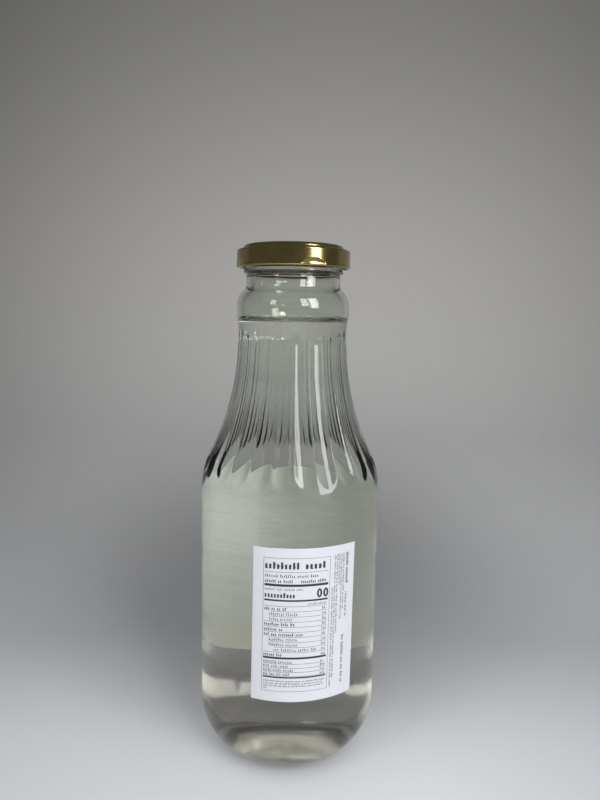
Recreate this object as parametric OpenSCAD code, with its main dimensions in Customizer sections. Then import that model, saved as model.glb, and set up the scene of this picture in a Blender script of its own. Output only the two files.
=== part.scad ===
// One-litre glass juice bottle with a fluted shoulder and a twist-off lug cap.
// Units are millimetres. +Z is up, the table is z = 0 and the bottle's axis is Z.
// The middle of the front label lies a little to the +X side of the -Y direction.

/* [Bottle body] */
// Outside radius of the straight body.
body_r = 45.65; // [42:0.05:50]
// Height at which the straight body starts to turn in to the shoulder.
shoulder_z = 136.8; // [130:0.1:146]
// Radius of the rounded heel between the body and the foot.
heel_r = 30; // [26:0.5:33]
// Height of the heel's centre, where the straight body starts.
heel_z = 27.5; // [25:0.5:30]
// Radius of the small curve that carries the heel on to the table.
foot_r = 8; // [6:0.5:9]
// Rise of the pushed-up middle of the base.
push_up = 4; // [2:0.5:6]
// Inner edge of the ring that stands on the table.
foot_inner_r = 21.5; // [18:0.5:23]
// Thickness of the glass wall.
wall = 2.7; // [2:0.1:3.2]
// Thickness of the glass in the middle of the base.
base_wall = 3.5; // [3:0.1:5]

/* [Shoulder and neck] */
// Radius of the outward curve at the foot of the shoulder.
shoulder_curve = 45; // [40:1:50]
// Outside radius of the waist above the shoulder.
waist_r = 26.95; // [26:0.05:28]
// Height of the waist above the top of the straight body.
waist_rise = 77.7; // [74:0.1:80]
// Outside radius of the bulge under the cap.
bulge_r = 28.1; // [27.6:0.05:29.4]
// Height of the bulge's widest place above the waist.
bulge_rise = 15; // [13.5:0.5:16.5]
// Radius of the bulge's round top.
bulge_curve = 11.7; // [10.5:0.1:12.5]
// Outside radius of the short neck.
neck_r = 23.4; // [23.1:0.1:23.7]
// Radius of the hollow curve between the bulge and the neck.
neck_curve = 2.5; // [2:0.1:3.5]

/* [Flutes] */
// Number of flutes round the shoulder.
flute_count = 25; // [22:1:28]
// Radius of one flute's hollow.
flute_r = 13; // [11:0.5:16]
// How far above the straight body the flutes run out on the shoulder.
flute_start = 10.2; // [6:0.1:14]
// Direction of the first ridge, measured from +X.
ridge_angle = 272.3; // [265:0.1:280]

/* [Finish] */
// Outside radius of the finish wall that carries the threads.
finish_r = 24.2; // [24.1:0.05:24.3]
// Distance from the sealing rim down to the transfer bead.
bead_drop = 11.6; // [11.4:0.1:12.3]
// Radius of the bead's round edge.
bead_curve = 1; // [0.8:0.1:1]
// Height of the sealing rim above the bulge's widest place.
finish_rise = 28.8; // [28.3:0.1:29.3]
// Number of thread segments, one for each lug.
lug_count = 4; // [3:1:4]
// Angle covered by one thread segment.
thread_arc = 60; // [50:1:61]
// How far a thread stands out from the finish wall.
thread_out = 2.1; // [1.8:0.1:2.2]
// Rise of one thread from its tight end to its open end.
thread_rise = 1; // [0.6:0.1:1.1]

/* [Cap] */
// Outside radius of the cap's skirt.
cap_r = 28.1; // [27.9:0.05:28.4]
// Thickness of the tinplate.
cap_gauge = 0.3; // [0.25:0.01:0.35]
// Outside radius of the raised panel.
panel_r = 25.1; // [25.05:0.05:25.2]
// Height of the raised panel above the ring round it.
panel_step = 2.3; // [2.1:0.1:2.5]
// Radius of the raised panel's edge.
panel_curve = 1.9; // [1.6:0.1:1.9]
// Height of the whole cap.
cap_h = 11.1; // [10.9:0.1:11.3]
// Radius of the curl at the skirt's lower edge.
curl_r = 0.85; // [0.75:0.05:0.85]
// Angle covered by one lug.
lug_arc = 20; // [14:1:21]
// How far the lugs stay clear of the finish wall.
lug_clear = 0.7; // [0.5:0.05:0.8]
// Direction of the first lug, measured from +X.
lug_angle = 289.5; // [270:0.5:310]

/* [Gasket] */
// Thickness of the soft ring between the rim and the panel.
gasket_t = 1; // [0.8:0.1:1.2]
// Width of the soft ring.
gasket_w = 3.2; // [2.6:0.1:3.3]

/* [Labels] */
// Thickness of the label paper with its glue.
label_t = 0.1; // [0.08:0.01:0.2]
// Width of the front label along the glass.
front_w = 50.6; // [40:0.2:60]
// Height of the front label.
front_h = 74.9; // [60:0.1:90]
// Height of the front label's lower edge.
front_z = 45.7; // [36:0.1:48]
// Direction of the front label's middle, measured from +X.
front_angle = 280.4; // [270:0.1:290]
// Width of the rear label along the glass.
rear_w = 90; // [60:1:110]
// Height of the rear label.
rear_h = 95; // [80:1:98]
// Height of the rear label's lower edge.
rear_z = 37; // [31:0.5:38]

/* [Hidden] */
$fn = 96;
// Heights of the parts above the body, each one set on the part below it.
waist_z = shoulder_z + waist_rise;
flute_foot_z = shoulder_z + flute_start;
bulge_z = waist_z + bulge_rise;
rim_z = bulge_z + finish_rise;
bead_z = rim_z - bead_drop;
// A length in whole micrometres, for heights at which two outlines meet.
function whole(x) = round(x * 1000) / 1000;
// Heel: the foot curve touches the table and runs into the heel curve.
heel_x = body_r - heel_r;
foot_x = heel_x + sqrt(pow(heel_r - foot_r, 2) - pow(heel_z - foot_r, 2));
dome_r = (pow(foot_inner_r, 2) + pow(push_up, 2)) / (2 * push_up);
// Bulge: its lower flank is a hollow and a round curve of one radius each.
flank_dx = bulge_r - waist_r;
flank_dz = bulge_z - waist_z;
flank_sum = (pow(flank_dx, 2) + pow(flank_dz, 2)) / (2 * flank_dx);
flank_hollow = flank_sum * 0.56;
flank_round = flank_sum - flank_hollow;
flank_a = asin(flank_dz / flank_sum);
bulge_x = bulge_r - bulge_curve;
neck_dx = neck_r + neck_curve - bulge_x;
neck_dz = whole(sqrt(pow(bulge_curve + neck_curve, 2) - pow(neck_dx, 2)));
neck_z = bulge_z + neck_dz;
neck_a = asin(neck_dz / (bulge_curve + neck_curve));
// Flutes: just deep enough for two neighbours to meet on a sharp ridge.
ridge_spare = 0.35;
half_pitch = 1.02 * PI * waist_r / flute_count;
flute_depth = flute_r - sqrt(pow(flute_r, 2) - pow(half_pitch, 2));
path_top_r = waist_r - flute_depth;
foot_dz = flute_foot_z - shoulder_z;
path_foot_r = body_r - shoulder_curve + sqrt(pow(shoulder_curve, 2) - pow(foot_dz, 2));
path_out = path_foot_r - path_top_r;
path_r = (pow(path_out, 2) + pow(waist_z - flute_foot_z, 2)) / (2 * path_out);
path_turn = asin((waist_z - flute_foot_z + 14) / path_r);
// Finish and threads.
lug_step = 360 / lug_count;
lug_gap = lug_step - thread_arc;
cap_top = rim_z + gasket_t + cap_gauge;
cap_foot = cap_top - cap_h;
ring_z = cap_top - panel_step;
lug_top = cap_foot + 1.75;
lug_in = finish_r + lug_clear;
curl_x = cap_r + 0.1 - curl_r;
thread_r = finish_r + thread_out;
thread_low = lug_top + 0.45;
thread_mid = thread_low + thread_rise / 2;
thread_tilt = atan(thread_rise / (2 * thread_r * sin(thread_arc / 2)));
thread_t = 1.5;

// Half of the bottle's outline, drawn w inside the outer face.
module outline(w) {
    heel_top(w);
    translate([0, heel_z])
        square([body_r - w, shoulder_z - heel_z - (w > 0 ? 3 : 0)]);
    shoulder(w);
    bulge(w);
    translate([0, waist_z - 1])
        square([waist_r - w, 2]);
    translate([0, bulge_z])
        square([neck_r - w, rim_z - bulge_z - 2]);
}

// Foot and heel up to the straight body.
module heel_top(w) {
    intersection() {
        translate([heel_x, heel_z])
            circle(heel_r - w);
        polygon([
            [heel_x, heel_z],
            [heel_x + 2 * (foot_x - heel_x), heel_z - 2 * (heel_z - foot_r)],
            [body_r + 5, heel_z - 2 * (heel_z - foot_r)],
            [body_r + 5, heel_z]
        ]);
    }
    translate([foot_x, foot_r])
        circle(foot_r - w);
    polygon([
        [0, w],
        [foot_x, w],
        [foot_x, foot_r],
        [heel_x, heel_z],
        [0, heel_z]
    ]);
}

// Outward curve, then a long hollow curve that is tangent to it and ends at
// the waist. Inside, the curve starts lower and leaves glass under the flutes.
module shoulder(w) {
    top = w > 0 ? waist_r - w : waist_r + ridge_spare;
    z0 = w > 0 ? shoulder_z - 3 : shoulder_z;
    x0 = body_r - w - shoulder_curve;
    dx = top - x0;
    dz = waist_z - z0;
    hollow = (pow(dx, 2) + pow(dz, 2) - pow(shoulder_curve, 2)) / (2 * (shoulder_curve - dx));
    turn = asin(dz / (shoulder_curve + hollow));
    turn_z = whole(shoulder_curve * sin(turn));
    turn_r = x0 + shoulder_curve * cos(turn);
    intersection() {
        translate([x0, z0])
            circle(shoulder_curve);
        translate([0, z0])
            square([body_r, turn_z]);
    }
    translate([0, z0])
        square([turn_r, turn_z]);
    difference() {
        translate([0, z0 + turn_z])
            square([turn_r, dz - turn_z]);
        translate([top + hollow, waist_z])
            circle(hollow);
    }
}

// Waist to neck: a shallow flank, a round top and a small hollow curve.
module bulge(w) {
    flank_z = whole((flank_hollow + w) * sin(flank_a));
    flank_x = waist_r + flank_hollow - (flank_hollow + w) * cos(flank_a);
    top_z = whole((bulge_curve - w) * sin(neck_a));
    top_x = bulge_x + (bulge_curve - w) * cos(neck_a);
    difference() {
        translate([0, waist_z])
            square([flank_x, flank_z]);
        translate([waist_r + flank_hollow, waist_z])
            circle(flank_hollow + w);
    }
    intersection() {
        translate([bulge_r - flank_round, bulge_z])
            circle(flank_round - w);
        translate([0, waist_z + flank_z])
            square([bulge_r, bulge_z - waist_z - flank_z]);
    }
    intersection() {
        translate([bulge_x, bulge_z])
            circle(bulge_curve - w);
        translate([0, bulge_z])
            square([bulge_r, top_z]);
    }
    translate([0, bulge_z])
        square([bulge_x, top_z]);
    difference() {
        translate([0, bulge_z + top_z])
            square([top_x, neck_dz - top_z]);
        translate([neck_r + neck_curve, neck_z])
            circle(neck_curve + w);
    }
}

// Finish wall with its bead and a rounded rim.
module finish_outline() {
    translate([0, bead_z])
        square([finish_r, rim_z - bead_z - 0.8]);
    translate([0, rim_z - 0.8])
        square([finish_r - 0.8, 0.8]);
    translate([finish_r - 0.8, rim_z - 0.8])
        circle(0.8);
    translate([neck_r + 0.4, bead_z])
        circle(bead_curve);
}

// Hollow of the bottle, from the raised floor to the open mouth.
module cavity() {
    difference() {
        outline(wall);
        translate([0, push_up - dome_r])
            circle(dome_r + base_wall);
    }
    translate([0, bulge_z])
        square([neck_r - wall, rim_z - bulge_z + 1]);
    translate([0, rim_z - 0.7])
        square([neck_r - wall + 0.35, 1.7]);
}

// One flute: a round hollow that follows the shoulder and ends in a ball.
module flute_cutter() {
    axis_r = path_r - flute_r;
    path_x = path_top_r + path_r;
    translate([path_x, 0, waist_z])
        rotate([90, 0, 0])
        rotate([0, 0, 180])
        rotate_extrude(angle = path_turn)
        translate([axis_r, 0])
        circle(flute_r);
    translate([path_x - axis_r, 0, waist_z])
        sphere(flute_r);
}

// Thread segment with a sloping underside, cut off square at both ends.
module thread_segment() {
    translate([0, 0, thread_mid])
        rotate([thread_tilt, 0, 0])
        rotate([0, 0, -thread_arc / 2])
        rotate_extrude(angle = thread_arc)
        polygon([
            [finish_r - 0.6, 0],
            [thread_r - 0.2, 0],
            [thread_r, 0.3],
            [thread_r, 0.7],
            [finish_r - 0.6, thread_t + 0.6]
        ]);
}

// Outline of the tinplate, drawn g inside the outer face.
function arc(x, y, r, a, b, n) = [for (i = [0:n]) let (t = a + (b - a) * i / n)
    [x + r * cos(t), y + r * sin(t)]];
function tin(g) = concat(
    [[0, cap_top - g]],
    arc(panel_r - panel_curve, cap_top - panel_curve, panel_curve - g, 90, 0, 8),
    arc(panel_r + 0.4, ring_z + 0.4, 0.4 + g, 180, 270, 4),
    arc(cap_r - 1, ring_z - 1, 1 - g, 90, 0, 6),
    [[cap_r - g, cap_foot + curl_r]]
);
function back(p) = [for (i = [len(p) - 1:-1:0]) p[i]];

// Half of the section through the glass wall.
module wall_section() {
    difference() {
        union() {
            outline(0);
            finish_outline();
        }
        translate([0, push_up - dome_r])
            circle(dome_r);
        cavity();
    }
}

module glass_bottle() {
    color([0.86, 0.93, 0.88, 0.35])
        difference() {
            union() {
                rotate_extrude()
                    wall_section();
                for (i = [0:lug_count - 1])
                    rotate([0, 0, lug_angle + (i + 0.5) * lug_step])
                    thread_segment();
            }
            for (i = [0:flute_count - 1])
                rotate([0, 0, ridge_angle + (i + 0.5) * 360 / flute_count])
                flute_cutter();
        }
}

module twist_off_cap() {
    color([0.78, 0.65, 0.28]) {
        rotate_extrude()
            polygon(concat(tin(0), back(tin(cap_gauge))));
        rotate_extrude()
            translate([curl_x, cap_foot + curl_r])
            circle(curl_r);
        for (i = [0:lug_count - 1])
            rotate([0, 0, lug_angle + i * lug_step - lug_arc / 2])
            rotate_extrude(angle = lug_arc)
            polygon([
                [lug_in, lug_top - 0.9],
                [lug_in + 0.4, lug_top - 1.4],
                [curl_x - 0.3, cap_foot + 0.1],
                [curl_x + 0.3, cap_foot + 0.1],
                [curl_x + 0.3, lug_top - 0.4],
                [lug_in + 0.5, lug_top],
                [lug_in, lug_top - 0.4]
            ]);
    }
}

module sealing_gasket() {
    seal_r = finish_r;
    color([0.9, 0.88, 0.8])
        rotate_extrude()
        polygon([
            [seal_r - gasket_w, rim_z],
            [seal_r, rim_z],
            [seal_r, rim_z + 0.25 * gasket_t],
            [panel_r - panel_curve - 0.2, rim_z + gasket_t],
            [seal_r - gasket_w, rim_z + gasket_t]
        ]);
}

// Paper bent round the body, w wide and h high, its lower edge at z.
module paper(w, h, z, angle) {
    arc_deg = w / (body_r * PI) * 180;
    rotate([0, 0, angle - arc_deg / 2])
        translate([0, 0, z])
        rotate_extrude(angle = arc_deg)
        translate([body_r, 0])
        square([label_t, h]);
}

module front_label() {
    color([0.95, 0.95, 0.94])
        paper(front_w, front_h, front_z, front_angle);
}

module rear_label() {
    color([0.93, 0.92, 0.88])
        paper(rear_w, rear_h, rear_z, front_angle + 180);
}

glass_bottle();
front_label();
rear_label();
sealing_gasket();
twist_off_cap();
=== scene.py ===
# %% [markdown]
# # A one-litre juice bottle with a twist-off cap
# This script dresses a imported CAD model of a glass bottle. It is written in small steps, so that
# each piece and each finish can be read, run and changed by itself. Lengths are in metres.

# %% Load the frame
import math
import bpy
import numpy as np
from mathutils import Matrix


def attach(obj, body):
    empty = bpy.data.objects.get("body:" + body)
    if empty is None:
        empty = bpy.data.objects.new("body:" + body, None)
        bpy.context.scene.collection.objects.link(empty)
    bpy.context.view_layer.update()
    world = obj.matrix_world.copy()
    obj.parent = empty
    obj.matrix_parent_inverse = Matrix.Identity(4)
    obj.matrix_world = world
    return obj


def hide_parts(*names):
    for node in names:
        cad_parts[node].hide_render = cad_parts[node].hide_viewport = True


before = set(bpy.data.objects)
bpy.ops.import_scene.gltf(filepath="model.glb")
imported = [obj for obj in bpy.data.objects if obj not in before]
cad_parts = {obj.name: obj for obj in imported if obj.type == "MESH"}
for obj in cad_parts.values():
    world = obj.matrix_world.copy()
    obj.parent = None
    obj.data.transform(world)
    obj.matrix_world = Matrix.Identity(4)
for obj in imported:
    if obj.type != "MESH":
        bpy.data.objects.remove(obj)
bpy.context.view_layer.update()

# %% [markdown]
# ## The camera
# The camera stands in front of the bottle, a little below the cap, and is pitched down by under eight
# degrees. Its place, angles and focal length were found by a program, as the least-squares fit to the
# bottle's outline in one view. Its three axes are worked out as vectors and go straight into the
# camera's matrix, which avoids any doubt about the order of Euler angles.

# %% Camera
CAM_BACK, CAM_UP = 0.328722, 0.226977
PITCH, ROLL, YAW = 0.13365, -0.0177, 0.0133
FOCAL_PX, LONG_SIDE_PX = 648.93, 800


def camera_axes(pitch, roll, yaw):
    """Right, down and forward: forward is yawed and pitched, then right and down turn by the roll."""
    forward = np.array([math.sin(yaw) * math.cos(pitch), math.cos(yaw) * math.cos(pitch), -math.sin(pitch)])
    right = np.array([math.cos(yaw), -math.sin(yaw), 0.0])
    down = np.cross(forward, right)
    return (math.cos(roll) * right + math.sin(roll) * down,
            -math.sin(roll) * right + math.cos(roll) * down, forward)


right, down, forward = camera_axes(PITCH, ROLL, YAW)
cam_data = bpy.data.cameras.new("view_camera")
cam_data.sensor_fit = "AUTO"
cam_data.sensor_width = 36.0
cam_data.lens = FOCAL_PX * 36.0 / LONG_SIDE_PX
cam_data.clip_start, cam_data.clip_end = 0.01, 20.0
camera = bpy.data.objects.new("view_camera", cam_data)
bpy.context.scene.collection.objects.link(camera)
place = np.eye(4)
place[:3, 0], place[:3, 1], place[:3, 2] = right, -down, -forward
place[:3, 3] = (0.0, -CAM_BACK, CAM_UP)
from mathutils import Matrix
camera.matrix_world = Matrix(place.tolist())
bpy.context.scene.camera = camera
print("lens in mm:", round(cam_data.lens, 2))

# %% [markdown]
# ## Helpers for meshes
# Every new surface here is a grid of points worked out with numpy. One helper turns such a grid into
# a mesh: it is told whether the grid closes round in its first direction, and its quads are built as
# one array. UVs are written too, in metres, so that a pattern keeps its real size.

# %% Grid to mesh
def grid_faces(rows, cols, wrap):
    """Quads between neighbouring grid points; with wrap the last column joins the first."""
    r, c = np.meshgrid(np.arange(rows - 1), np.arange(cols if wrap else cols - 1), indexing="ij")
    n = (c + 1) % cols
    return np.stack([r * cols + c, r * cols + n, (r + 1) * cols + n, (r + 1) * cols + c], -1).reshape(-1, 4)


def new_mesh(name, points, faces, smooth=True, extra_faces=()):
    """Mesh object at the origin from a point array and a quad array, plus any lone polygons."""
    mesh = bpy.data.meshes.new(name)
    polys = [tuple(int(i) for i in f) for f in faces.tolist()] + [tuple(f) for f in extra_faces]
    mesh.from_pydata(np.asarray(points, float).reshape(-1, 3).tolist(), [], polys)
    mesh.polygons.foreach_set("use_smooth", np.full(len(mesh.polygons), smooth))
    mesh.update()
    piece = bpy.data.objects.new(name, mesh)
    bpy.context.scene.collection.objects.link(piece)
    return piece


def report(piece):
    """Print how many triangles a piece has."""
    tris = sum(len(p.vertices) - 2 for p in piece.data.polygons)
    print(piece.name, "triangles:", tris)


# %% [markdown]
# ## Sizes of the bottle
# The outline of a blown bottle is a chain of arcs. Writing it as arcs, and not as a list of measured
# points, keeps it fair: each arc leaves its neighbour in the same direction. All sizes below are in
# millimetres and are the same named sizes that the solid model uses.

# %% Bottle sizes in millimetres
BODY_R, SHOULDER_Z, HEEL_R, HEEL_Z, FOOT_R = 45.65, 136.8, 30.0, 27.5, 8.0
PUSH_UP, FOOT_INNER_R, WALL, BASE_WALL = 4.0, 21.5, 2.7, 3.5
SHOULDER_CURVE, WAIST_R, WAIST_Z = 45.0, 26.95, 214.5
BULGE_R, BULGE_Z, BULGE_CURVE, NECK_R, NECK_CURVE = 28.1, 229.5, 11.7, 23.4, 2.5
FLUTES, FLUTE_R, FLUTE_FOOT_Z, RIDGE_ANGLE = 25, 13.0, 147.0, 272.3
FINISH_R, BEAD_Z, BEAD_CURVE, RIM_Z = 24.2, 246.7, 1.0, 258.3
LUGS, THREAD_ARC, THREAD_OUT, THREAD_RISE, THREAD_T = 4, 60.0, 2.1, 1.0, 1.5
CAP_R, GAUGE, PANEL_R, PANEL_STEP, PANEL_CURVE, CAP_H = 28.1, 0.3, 25.1, 2.3, 1.9, 11.1
CURL_R, LUG_ARC, LUG_CLEAR, LUG_ANGLE = 0.85, 20.0, 0.7, 289.5
GASKET_T, GASKET_W = 1.0, 3.2
LABEL_T, FRONT_W, FRONT_H, FRONT_Z, FRONT_ANGLE = 0.1, 50.6, 74.9, 45.7, 280.4
REAR_W, REAR_H, REAR_Z = 90.0, 95.0, 37.0
LEVEL_Z = 222.8
CAP_TOP = RIM_Z + GASKET_T + GAUGE
CAP_FOOT = CAP_TOP - CAP_H
LUG_TOP = CAP_FOOT + 1.75


# %% [markdown]
# ## The outline as arcs
# An arc that is tangent to its two neighbours is fixed by a little geometry: two circles touch where
# the distance between their centres is the sum or the difference of their radii. From that come the
# hollow curve of the shoulder, the flank of the bulge and the curve into the neck.

# %% Outline from arcs
def arc(cx, cz, r, a, b, n):
    """Points on a circle round (cx, cz) from angle a to b in degrees, 0 pointing outwards."""
    t = np.radians(np.linspace(a, b, n))
    return np.stack([cx + r * np.cos(t), cz + r * np.sin(t)], -1)


def line(p, q, n):
    """Points on the straight line from p to q."""
    t = np.linspace(0, 1, n)[:, None]
    return np.asarray(p) * (1 - t) + np.asarray(q) * t


def shoulder_arcs(w, spare=0.0):
    """Shoulder curve and hollow curve, w inside the outer face: the hollow's radius follows from
    the two circles touching, R2 = (dx^2 + dz^2 - R1^2) / (2 (R1 - dx))."""
    top = WAIST_R + spare - w
    z0 = SHOULDER_Z - (3.0 if w > 0 else 0.0)
    x0 = BODY_R - w - SHOULDER_CURVE
    dx, dz = top - x0, WAIST_Z - z0
    hollow = (dx * dx + dz * dz - SHOULDER_CURVE ** 2) / (2 * (SHOULDER_CURVE - dx))
    turn = math.degrees(math.asin(dz / (SHOULDER_CURVE + hollow)))
    return (x0, z0, SHOULDER_CURVE, 0.0, turn), (top + hollow, WAIST_Z, hollow, 180 + turn, 180.0)


HEEL_X = BODY_R - HEEL_R
FOOT_X = HEEL_X + math.sqrt((HEEL_R - FOOT_R) ** 2 - (HEEL_Z - FOOT_R) ** 2)
HEEL_A = math.degrees(math.atan2(FOOT_R - HEEL_Z, FOOT_X - HEEL_X))
DOME_R = (FOOT_INNER_R ** 2 + PUSH_UP ** 2) / (2 * PUSH_UP)
FLANK = ((BULGE_R - WAIST_R) ** 2 + (BULGE_Z - WAIST_Z) ** 2) / (2 * (BULGE_R - WAIST_R))
FLANK_IN, FLANK_OUT = 0.56 * FLANK, 0.44 * FLANK
FLANK_A = math.degrees(math.asin((BULGE_Z - WAIST_Z) / FLANK))
BULGE_X = BULGE_R - BULGE_CURVE
NECK_DX = NECK_R + NECK_CURVE - BULGE_X
NECK_DZ = math.sqrt((BULGE_CURVE + NECK_CURVE) ** 2 - NECK_DX ** 2)
NECK_Z = BULGE_Z + NECK_DZ
NECK_A = math.degrees(math.atan2(NECK_DZ, NECK_DX))


def bulge_points(w, n):
    """Flank, round top and neck curve, w inside the outer face."""
    return np.vstack([
        arc(WAIST_R + FLANK_IN, WAIST_Z, FLANK_IN + w, 180, 180 - FLANK_A, n)[1:],
        arc(BULGE_R - FLANK_OUT, BULGE_Z, FLANK_OUT - w, -FLANK_A, 0, n)[1:],
        arc(BULGE_X, BULGE_Z, BULGE_CURVE - w, 0, NECK_A, n + 4)[1:],
        arc(NECK_R + NECK_CURVE, NECK_Z, NECK_CURVE + w, 180 + NECK_A, 180, n - 2)[1:],
    ])


# Foot ring, heel and body, going up the outside from the middle of the pushed-up base.
dome_edge = math.degrees(math.asin(FOOT_INNER_R / DOME_R))
under = arc(0, PUSH_UP - DOME_R, DOME_R, 90, 90 - dome_edge, 9)
under = under[under[:, 0] < FOOT_INNER_R - 0.4]
FOOT_EDGE = 1.2
foot = np.vstack([arc(FOOT_INNER_R + FOOT_EDGE, FOOT_EDGE, FOOT_EDGE, 215, 270, 5)[1:],
                  line((FOOT_INNER_R + FOOT_EDGE, 0), (FOOT_X, 0), 4)[1:]])
heel = np.vstack([arc(FOOT_X, FOOT_R, FOOT_R, 270, 360 + HEEL_A, 7)[1:],
                  arc(HEEL_X, HEEL_Z, HEEL_R, HEEL_A, 0, 16)[1:]])
body = line((BODY_R, HEEL_Z), (BODY_R, SHOULDER_Z), 5)[1:]
# The hollow curve is drawn a little wide at the waist, and what is spare is taken off above SPARE_Z.
WAIST_SPARE, SPARE_Z = 0.35, 209.0
s1, s2 = shoulder_arcs(0.0, WAIST_SPARE)
shoulder = np.vstack([arc(*s1, 22)[1:], arc(*s2, 40)[1:]])
shoulder[:, 0] -= WAIST_SPARE * np.clip((shoulder[:, 1] - SPARE_Z) / (WAIST_Z - SPARE_Z), 0, 1)
finish = np.vstack([
    line((NECK_R, NECK_Z), (NECK_R, BEAD_Z - 1.0), 4)[1:],
    arc(NECK_R + 0.4, BEAD_Z, BEAD_CURVE, -80, 60, 8),
    line((FINISH_R, BEAD_Z + 1.4), (FINISH_R, RIM_Z - 1.6), 30),
    arc(FINISH_R - 0.8, RIM_Z - 0.8, 0.8, 0, 90, 6),
    line((FINISH_R - 0.9, RIM_Z), (NECK_R - WALL + 0.9, RIM_Z), 4)[1:],
    arc(NECK_R - WALL + 0.8, RIM_Z - 0.8, 0.8, 90, 180, 5)[1:],
])
outside = np.vstack([under, foot, heel, body, shoulder, bulge_points(0.0, 9), finish])
print("outside rows:", len(outside))

# %% [markdown]
# ## The inside of the glass
# The inner wall is a second chain of arcs, drawn from the mouth down to the raised floor. Blowing
# leaves it smooth: the flutes belong to the mould side only, so the inside is a plain turned surface.
# The glass is drawn as gathered in the corner of the heel, with a rounder corner inside than outside,
# and a little thicker again in the bulge and the neck. The solid model has thinner glass there.

# %% Inside from arcs
i1, i2 = shoulder_arcs(WALL)
CORNER_R, FLOOR_Z, FLOOR_DROP, NECK_EXTRA = 22.0, PUSH_UP + BASE_WALL, 1.3, 0.9
EXTRA_START, EXTRA_RISE, RIM_FREE, RIM_FADE = 205.0, 18.0, 2.0, 5.0
corner_x, corner_z = BODY_R - WALL - CORNER_R, FLOOR_Z - FLOOR_DROP + CORNER_R
crown_r = (corner_x ** 2 + FLOOR_DROP ** 2) / (2 * FLOOR_DROP)
crown_a = math.degrees(math.asin(corner_x / crown_r))
inner_up = np.vstack([
    arc(0, FLOOR_Z - crown_r, crown_r, 90, 90 - crown_a + 1.5, 8),
    arc(corner_x, corner_z, CORNER_R, 272, 360, 22),
    line((BODY_R - WALL, corner_z), (BODY_R - WALL, i1[1]), 5)[1:],
    arc(*i1, 12)[1:],
    arc(*i2, 17)[1:],
    bulge_points(WALL, 7),
    line((NECK_R - WALL, NECK_Z), (NECK_R - WALL, RIM_Z - 0.9), 5)[1:],
])
thicker = (np.clip((inner_up[:, 1] - EXTRA_START) / EXTRA_RISE, 0, 1)
           * np.clip((RIM_Z - RIM_FREE - inner_up[:, 1]) / RIM_FADE, 0, 1))
inner_up[:, 0] -= NECK_EXTRA * thicker * thicker * (3 - 2 * thicker)
inside_down = inner_up[::-1]
print("inside rows:", len(inner_up))

# %% [markdown]
# ## Flutes and threads as changes of radius
# A flute is the mark of a round tool that follows the shoulder. Across it, the surface is the arc of
# a circle: with x the distance from the flute's middle line, the surface rises by R - sqrt(R^2 - x^2)
# from its deepest line, and the radius there is the hypotenuse of that height and x.
# The true surface is the smaller of the plain outline and the flute, so neighbours meet on a ridge
# and each flute dies out by itself where the outline turns inside it. In the upper shoulder the flutes
# keep their full depth, with every ridge on the outline. The thread segments are
# added in the same way, as a rise in radius with sloping edges.

# %% Flute and thread functions
STEP = 2 * math.pi / FLUTES
flute_depth = FLUTE_R - math.sqrt(FLUTE_R ** 2 - (1.02 * math.pi * WAIST_R / FLUTES) ** 2)
path_top_r = WAIST_R - flute_depth
path_foot_r = BODY_R - SHOULDER_CURVE + math.sqrt(SHOULDER_CURVE ** 2 - (FLUTE_FOOT_Z - SHOULDER_Z) ** 2)
path_out = path_foot_r - path_top_r
PATH_R = (path_out ** 2 + (WAIST_Z - FLUTE_FOOT_Z) ** 2) / (2 * path_out)


def smooth_min(a, b, k):
    """Smaller of a and b with a small rounded step between them, k wide."""
    h = np.clip(0.5 + 0.5 * (b - a) / k, 0, 1)
    return b * (1 - h) + a * h - k * h * (1 - h)


def fluted_radius(r, z, angle):
    """Radius of the outside at plain radius r, height z and angle, in millimetres and radians."""
    rel = np.mod(angle - math.radians(RIDGE_ANGLE), STEP) - STEP / 2
    x = r * np.sin(rel)
    dz = WAIST_Z - z
    low = np.sqrt(np.maximum(PATH_R ** 2 - np.maximum(dz, 0) ** 2, 1.0))
    slope = np.maximum(dz, 0) / low
    rise = FLUTE_R - np.sqrt(np.maximum(FLUTE_R ** 2 - x ** 2, 0))
    follow = path_top_r + PATH_R - low + rise * np.sqrt(1 + slope ** 2)
    ball = path_top_r + FLUTE_R - np.sqrt(np.maximum(FLUTE_R ** 2 - x ** 2 - np.minimum(dz, 0) ** 2, 0))
    cut = np.hypot(np.where(dz >= 0, follow, ball), x)
    band = (z > FLUTE_FOOT_Z - 8) & (z < WAIST_Z + 8)
    low_form = np.where(band, smooth_min(r, cut, 0.16), r)
    x_edge = r * math.sin(STEP / 2)
    floor_y = r * math.cos(STEP / 2) - FLUTE_R + np.sqrt(np.maximum(FLUTE_R ** 2 - x_edge ** 2, 0))
    full = np.minimum(np.hypot(floor_y + rise, x), r)
    share = np.clip((z - 160.0) / 26.0, 0, 1) * np.clip((WAIST_Z - z) / 2.5, 0, 1)
    share = share * share * (3 - 2 * share)
    return low_form * (1 - share) + full * share


def thread_rise(z, angle):
    """Height of the thread above the finish wall: a slanted bar with sloping top and bottom."""
    lug_step = 2 * math.pi / LUGS
    rel = np.mod(angle - math.radians(LUG_ANGLE), lug_step) - lug_step / 2
    half = math.radians(THREAD_ARC) / 2
    low = LUG_TOP + 0.45 + THREAD_RISE * (0.5 - rel / (2 * half))
    up = np.clip((z - low) / 0.35, 0, 1) * np.clip((low + THREAD_T + 0.6 - z) / 1.0, 0, 1)
    ends = np.clip((half - np.abs(rel)) / math.radians(2.0), 0, 1)
    return THREAD_OUT * up * ends


# %% [markdown]
# ## The glass
# Outside, rim and inside are one closed skin, as on the real bottle. The grid has fourteen columns to
# a flute, with one column on each ridge so that the ridges stay crisp. The faces of the inner wall
# below the liquid line get a slot of their own, because there the glass meets drink and not air.

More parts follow.
